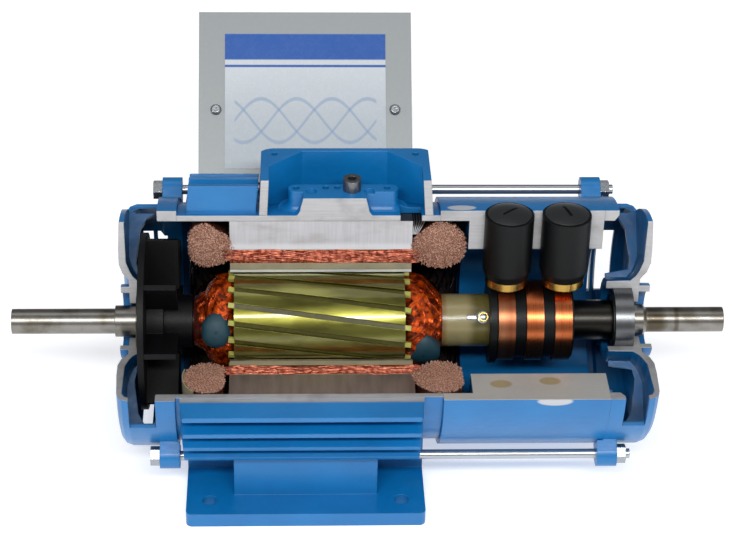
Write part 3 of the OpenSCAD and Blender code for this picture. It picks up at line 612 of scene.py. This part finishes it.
def smooth_noise(rng, count, reach, wave):
    """A list of values that wander smoothly between -reach and reach."""
    phases = [(rng.uniform(0, A_TURN), wave * rng.uniform(0.6, 1.6), rng.uniform(0.4, 1.0))
              for _ in range(3)]
    return [reach * sum(a * math.sin(p + w * i) for p, w, a in phases) / 2.0 for i in range(count)]


# ---- end windings of the stator ----
CUT_UP = 445.7
CUT_LEVEL = 187.2
LOOSE_STRANDS = 360
CUT_ENDS = 2600
GOLDEN_ANGLE = 137.508
RAGGED_FROM, RAGGED_WIDTH = 0.72, 0.28
SPREAD_FADES = 6.0


def hump(turn, middle, half):
    """1 in the middle of a range of angles, falling smoothly to 0 at its ends."""
    away = abs((turn - middle + 180.0) % 360.0 - 180.0)
    return 0.0 if away > half else 0.5 + 0.5 * math.cos(math.pi * away / half)


def spread(turn, humps):
    """How far a cut face reaches at an angle round its section, against its oval."""
    return 1.0 + sum(size * hump(turn, middle, half) for middle, half, size in humps)


def end_winding(name, node, seed, section, humps_level, humps_up):
    """A wound ring of wires: packed core, loose outer strands and sawn wire ends.

    The section is an oval: its middle along the shaft and in radius, then half its width and
    half its height. A hump is an angle round the section, half its range and its size.
    """
    mid_x, mid_r, half_x, half_r = section
    rng = random.Random(seed)

    def skin(turn, angle, scale):
        share = (angle - CUT_LEVEL) / (CUT_UP - CUT_LEVEL)
        near_level = max(0.0, 1.0 - share * SPREAD_FADES)
        near_up = max(0.0, 1.0 - (1.0 - share) * SPREAD_FADES)
        grow = (1.0 + (spread(turn, humps_level) - 1.0) * near_level
                + (spread(turn, humps_up) - 1.0) * near_up)
        t = math.radians(turn)
        return around(mid_x + scale * grow * half_x * math.cos(t), angle,
                      mid_r + scale * grow * half_r * math.sin(t))

    rows = []
    steps, across = 90, 32
    for i in range(steps + 1):
        angle = CUT_LEVEL + (CUT_UP - CUT_LEVEL) * i / steps
        lumps = [0.93 + 0.03 * math.sin(0.09 * angle + j) + rng.uniform(-0.015, 0.015)
                 for j in range(across)]
        rows.append([skin(360 * j / across, angle, lumps[j]) for j in range(across)])
    for point in rows[0]:
        point.z = SAW_Z - 0.1
    for point in rows[-1]:
        point.y = SAW_Y + 0.1
    Shape().grid(rows).make(name + "_core", "housing", core_copper, "copper_wire", replaces=(node,))

    strands = Shape()
    for _ in range(LOOSE_STRANDS):
        turn, drift = rng.uniform(0, 360), rng.uniform(-50, 50)
        start, sweep = rng.uniform(CUT_LEVEL - 4, CUT_UP - 12), rng.uniform(14, 46)
        count = 13
        wander = smooth_noise(rng, count, 6.0, 0.7)
        lift = rng.uniform(0.93, 1.0)
        path = []
        for k in range(count):
            share = k / (count - 1)
            point = skin(turn + drift * share + wander[k], start + sweep * share,
                         lift - 0.05 * (2 * share - 1) ** 2)
            if point.y > SAW_Y - 0.3 or point.z < SAW_Z + 0.3:
                path.append(point)
        if len(path) > 2:
            strands.tube(path, rng.uniform(0.3, 0.46), 5)
    strands.make(name + "_strands", "housing", enamel, "copper_wire")

    ends = Shape()
    for level, humps in ((True, humps_level), (False, humps_up)):
        for k in range(CUT_ENDS):
            reach = math.sqrt((k + rng.random()) / CUT_ENDS)
            turn = (k * GOLDEN_ANGLE + rng.uniform(-6, 6)) % 360
            t = math.radians(turn)
            far = reach * spread(turn, humps)
            x = mid_x + far * half_x * math.cos(t)
            r = mid_r + far * half_r * math.sin(t)
            edge = max(0.0, reach - RAGGED_FROM) / RAGGED_WIDTH
            tall = rng.uniform(0.0, 0.22) + edge * edge * rng.uniform(0.1, 1.1)
            lean_x = rng.gauss(0, 0.12 + 0.3 * edge) + 0.5 * edge * math.cos(t)
            lean_r = rng.gauss(0, 0.12 + 0.3 * edge) + 0.5 * edge * math.sin(t)
            if level:
                foot = Vector((x, -r, SAW_Z - 0.5))
                out = Vector((lean_x, -lean_r, 1.0)).normalized()
            else:
                foot = Vector((x, SAW_Y + 0.5, AXIS_Z + r))
                out = Vector((lean_x, -1.0, lean_r)).normalized()
            ends.tube([foot, foot + out * (0.55 + tall)], rng.uniform(0.15, 0.23), 5)
    ends.make(name + "_ends", "housing", cut_copper, "copper_wire", smooth=False)


end_winding("winding_fan_side", "end_winding_fan_side", 11, (-45.6, 40.5, 10.6, 11.6),
            [(0, 60, -0.3)], [(58, 45, -0.22), (-28, 40, 0.16), (180, 60, -0.2)])
end_winding("winding_ring_side", "end_winding_ring_side", 12, (62.9, 40.2, 12.2, 12.2),
            [(0, 60, -0.25), (180, 70, 0.08)], [(130, 40, -0.1), (200, 40, 0.12), (-40, 40, 0.06)])


# ---- the last sheets of the stator, splayed by the saw ----
SPLAY_START, SPLAY_SWEEP = 6.0, 80.0
SPLAY_LOW_R, SPLAY_HIGH_R = 46.0, STATOR_R - 0.2
SHEET_T = 0.35


def splayed_sheets():
    """Thin sheets at the ring end of the stator that lean outwards near their rims."""
    sheets = Shape()
    for i in range(5):
        foot = STATOR_X1 + 0.1 + i * 0.5
        lean = foot + 0.5 + i * 0.75
        sheets.turned([(foot, SPLAY_LOW_R), (foot + SHEET_T, SPLAY_LOW_R),
                       (lean + SHEET_T, SPLAY_HIGH_R), (lean, SPLAY_HIGH_R)],
                      60, SPLAY_START, SPLAY_SWEEP)
    sheets.make("splayed_sheets", "housing", lamination, "lamination_steel", smooth=False)


splayed_sheets()


# ---- wires in the two slots that the saw opened ----
SLOT_WIRE_LOW_R, SLOT_WIRE_HIGH_R = 31.3, 37.2
SLOT_LOW_R, SLOT_HIGH_R = 30.9, 37.6
WIRES_IN_A_SLOT = 26


def slot_wires(name, seed, level):
    """Long wires that lie in an opened slot and stray a little along it."""
    rng = random.Random(seed)
    wires = Shape()
    for _ in range(WIRES_IN_A_SLOT):
        steps = 44
        drift = smooth_noise(rng, steps, 1.7, 0.34)
        deep = smooth_noise(rng, steps, 0.5, 0.3)
        r0 = rng.uniform(SLOT_WIRE_LOW_R, SLOT_WIRE_HIGH_R)
        r1 = rng.uniform(SLOT_WIRE_LOW_R, SLOT_WIRE_HIGH_R)
        x0 = STATOR_X0 - rng.uniform(0, 4)
        x1 = STATOR_X1 + rng.uniform(0, 4)
        path = []
        for k in range(steps):
            share = k / (steps - 1)
            x = x0 + (x1 - x0) * share
            r = min(SLOT_HIGH_R, max(SLOT_LOW_R, r0 + (r1 - r0) * share + drift[k]))
            if level:
                path.append(Vector((x, -r, SAW_Z - 0.1 + deep[k])))
            else:
                path.append(Vector((x, SAW_Y + 0.1 - deep[k], AXIS_Z + r)))
        wires.tube(path, rng.uniform(0.3, 0.46), 6)
    wires.make(name, "housing", slot_copper, "copper_wire")


slot_wires("slot_wires_upper", 21, False)
slot_wires("slot_wires_lower", 22, True)


# ---- winding heads of the rotor ----
def along_outline(outline, share):
    """The place and radius at a share of the way along an outline."""
    place = share * (len(outline) - 1)
    i = min(int(place), len(outline) - 2)
    t = place - i
    return [outline[i][k] * (1 - t) + outline[i + 1][k] * t for k in (0, 1)]


ROTOR_SLOTS = 18
STRANDS_IN_A_COIL = 20
# each layer of coils: how many degrees it reaches round, and how far up the head it climbs
COIL_LAYERS = ((84.0, 0.82), (-66.0, 0.5))


def rotor_head(name, seed, outline):
    """Coils that leave each slot, cross over the head and go back into another slot."""
    rng = random.Random(seed)
    strands = Shape()
    for slot_number in range(ROTOR_SLOTS):
        for layer, (pitch, climbs) in enumerate(COIL_LAYERS):
            start = slot_number * 360.0 / ROTOR_SLOTS + rng.uniform(-3, 3)
            peak = climbs + rng.uniform(-0.06, 0.06)
            for _ in range(STRANDS_IN_A_COIL):
                offset = rng.uniform(-5.5, 5.5)
                top = peak + 0.02 * offset + rng.uniform(-0.05, 0.05)
                lift = 0.35 * layer - 0.2 + rng.uniform(-0.15, 0.3)
                steps = 18
                wander = smooth_noise(rng, steps, 0.8, 0.5)
                path = []
                for k in range(steps):
                    share = k / (steps - 1)
                    climb = math.sin(math.pi * share) ** 0.75 * top
                    x, r = along_outline(outline, climb)
                    path.append(around(x, start + offset + (pitch - 1.5 * offset) * share + wander[k],
                                       r + lift))
                strands.tube(path, rng.uniform(0.2, 0.3), 5)
    strands.make(name, "rotor", varnished, "lacquered_copper")


FAN_HEAD = [(-33.2, 20.6), (-37.0, 22.4), (-41.6, 21.5), (-45.3, 18.0), (-47.0, 14.2), (-52.0, 12.2)]
RING_HEAD = [(46.4, 20.6), (50.6, 22.4), (55.6, 21.0), (59.6, 17.0), (63.5, 13.2), (64.4, 12.6)]
rotor_head("rotor_strands_fan_side", 31, FAN_HEAD)
rotor_head("rotor_strands_ring_side", 32, RING_HEAD)


# ---- putty that balances the rotor ----
def putty_blob(blob, seed, mid_x, mid_angle, mid_r, half_x, half_turn, tall, tip):
    """Half an egg of putty pressed on a winding head, drawn out towards one end."""
    rng = random.Random(seed)
    steps, across = 14, 28
    rows = []
    dents = [rng.uniform(0.96, 1.04) for _ in range(across)]
    for i in range(steps + 1):
        polar = math.pi / 2 * i / steps
        row = []
        for j in range(across):
            a = 2 * math.pi * j / across
            wide = math.sin(polar) * dents[j]
            narrow = 1.0 - tip * 0.5 * (1.0 + math.sin(a))
            x = mid_x + half_x * wide * math.cos(a) * narrow
            angle = mid_angle - half_turn * wide * math.sin(a)
            row.append(around(x, angle, mid_r + tall * math.cos(polar) ** 0.7))
        rows.append(row)
    rows.append([point + (Vector((point.x, 0, AXIS_Z)) - point) * 0.3 for point in rows[-1]])
    blob.grid(rows)


blobs = Shape()
putty_blob(blobs, 41, mid_x=-41.6, mid_angle=160.0, mid_r=19.5, half_x=7.6, half_turn=24.0,
           tall=5.0, tip=0.1)
putty_blob(blobs, 42, mid_x=55.4, mid_angle=192.0, mid_r=18.8, half_x=10.6, half_turn=26.0,
           tall=4.8, tip=0.5)
blobs.make("putty_blobs", "rotor", putty, "teal_putty", replaces=("balance_putty",))


# ---- screw that holds the slip-ring lead ----
LEAD_X, LEAD_ANGLE, LEAD_R = 83.8, 141, 12.6
TAG_R, TAG_LOW, TAG_HIGH = 3.1, 0.2, 0.9
TAIL_HALF, TAIL_HIGH, TAIL_FROM, TAIL_TO = 1.2, 1.0, -2.5, -7.5
HEAD_R, HEAD_CROWN_R, HEAD_TOP_R = 2.3, 2.0, 1.1
HEAD_LOW, HEAD_RIM, HEAD_CROWN, HEAD_TOP = 0.8, 1.7, 2.3, 2.75
LEAD_STRANDS, LEAD_POINTS = 7, 12
DISC_SIDES = 28
FAR_OUT_R = LEAD_R + 7.4


def lead_fastening():
    """A tinned tag under a round head, with the end of its lead."""
    rng = random.Random(51)
    base = around(LEAD_X, LEAD_ANGLE, LEAD_R)
    out = (around(LEAD_X, LEAD_ANGLE, FAR_OUT_R) - base).normalized()
    side = Vector((1.0, 0.0, 0.0))
    up = out.cross(side)

    def place(u, v, w):
        return base + side * u + up * v + out * w

    def disc(radius_low, radius_high, low, high):
        rows = []
        for radius, w in ((radius_low, low), (radius_high, high)):
            rows.append([place(radius * math.cos(a), radius * math.sin(a), w)
                         for a in (2 * math.pi * k / DISC_SIDES for k in range(DISC_SIDES))])
        return rows

    tag = Shape().grid(disc(TAG_R, TAG_R, TAG_LOW, TAG_HIGH))
    tail = ((-TAIL_HALF, TAG_LOW), (TAIL_HALF, TAG_LOW), (TAIL_HALF, TAIL_HIGH), (-TAIL_HALF, TAIL_HIGH))
    tag.grid([[place(u, v, w) for v, w in tail] for u in (TAIL_FROM, TAIL_TO)])
    tag.make("lead_tag", "rotor", steel, "bright_steel", bevel=0.15)
    head = Shape().grid(disc(HEAD_R, HEAD_R, HEAD_LOW, HEAD_RIM)
                        + disc(HEAD_CROWN_R, HEAD_TOP_R, HEAD_CROWN, HEAD_TOP))
    head.make("lead_screw_head", "rotor", steel, "bright_steel")
    lead = Shape()
    for _ in range(LEAD_STRANDS):
        wander = smooth_noise(rng, LEAD_POINTS, 0.4, 0.6)
        lead.tube([place(3.0 + k * 0.42, wander[k] - k * 0.25, 0.9 + 0.9 * math.sin(k * 0.28))
                   for k in range(LEAD_POINTS)], 0.3, 5)
    lead.make("lead_wires", "rotor", varnished, "lacquered_copper")


lead_fastening()


# ---- bearing seal ----
def seal(name, body, x, outward, r_in, r_out):
    """A thin dished ring that closes a bearing; outward is 1 or -1 along the shaft."""
    lip = x + outward * 0.5
    dish = x + outward * 0.3
    back = x - outward * 0.3
    outline = [(x, r_in), (lip, r_in + 0.4), (dish, (r_in + r_out) / 2), (lip, r_out - 0.4),
               (x, r_out), (back, r_out), (back, r_in)]
    Shape().turned(outline, 72).make(name, body, seal_steel, "bearing_steel")


seal("seal_ring_side", "housing", 146.1, -1, 11.9, 13.8)


# ---- floor, light and camera ----
def floor_material():
    f = Finish("floor", (0.86, 0.86, 0.87, 1.0), 0.75)
    f.set("Base Color", f.mix(f.noise(0.004, 2.0), (0.84, 0.84, 0.85, 1.0), (0.88, 0.88, 0.89, 1.0)))
    f.set("Emission Color", (1.0, 1.0, 1.0, 1.0))
    f.set("Emission Strength", 0.5)
    return f.done()


floor_mesh = bpy.data.meshes.new("floor")
HALF_FLOOR = 12.0
corners = [(-HALF_FLOOR, -HALF_FLOOR, 0), (HALF_FLOOR, -HALF_FLOOR, 0),
           (HALF_FLOOR, HALF_FLOOR, 0), (-HALF_FLOOR, HALF_FLOOR, 0)]
floor_mesh.from_pydata(corners, [], [(0, 1, 2, 3)])
floor_mesh.materials.append(floor_material())
floor = bpy.data.objects.new("floor", floor_mesh)
bpy.context.scene.collection.objects.link(floor)


def softbox(name, place, target, width, height, watts):
    """A soft rectangular light that faces its target; sizes are in metres."""
    light = bpy.data.lights.new(name, "AREA")
    light.shape = "RECTANGLE"
    light.size = width
    light.size_y = height
    light.energy = watts
    lamp = bpy.data.objects.new(name, light)
    lamp.location = place
    lamp.rotation_euler = (Vector(target) - Vector(place)).to_track_quat("-Z", "Y").to_euler()
    bpy.context.scene.collection.objects.link(lamp)


MIDDLE = (0.03, 0.0, 0.075)
softbox("key", (0.0, -0.95, 0.92), MIDDLE, 1.2, 0.12, 14)
softbox("over", (0.1, 0.15, 1.4), MIDDLE, 1.2, 0.5, 2.5)
softbox("left", (-1.3, -0.5, 0.6), MIDDLE, 0.4, 0.8, 4)
softbox("right", (1.4, -0.3, 0.7), MIDDLE, 0.4, 0.8, 4)

world = bpy.data.worlds.new("studio")
world.use_nodes = True
world.node_tree.nodes["Background"].inputs["Color"].default_value = (0.95, 0.97, 1.0, 1.0)
world.node_tree.nodes["Background"].inputs["Strength"].default_value = 0.22
bpy.context.scene.world = world

# the camera's lens and sensor in millimetres, its place in metres and its turn in degrees
LENS, SENSOR = 108.2, 36.0
CAMERA_PLACE = (-0.01028, -0.87379, 0.64980)
CAMERA_TURN = (57.834, -1.033, -1.891)
camera_data = bpy.data.cameras.new("camera")
camera_data.lens = LENS
camera_data.sensor_width = SENSOR
camera = bpy.data.objects.new("camera", camera_data)
camera.location = CAMERA_PLACE
camera.rotation_euler = [math.radians(a) for a in CAMERA_TURN]
bpy.context.scene.collection.objects.link(camera)
bpy.context.scene.camera = camera
bpy.context.scene.view_settings.view_transform = "Standard"
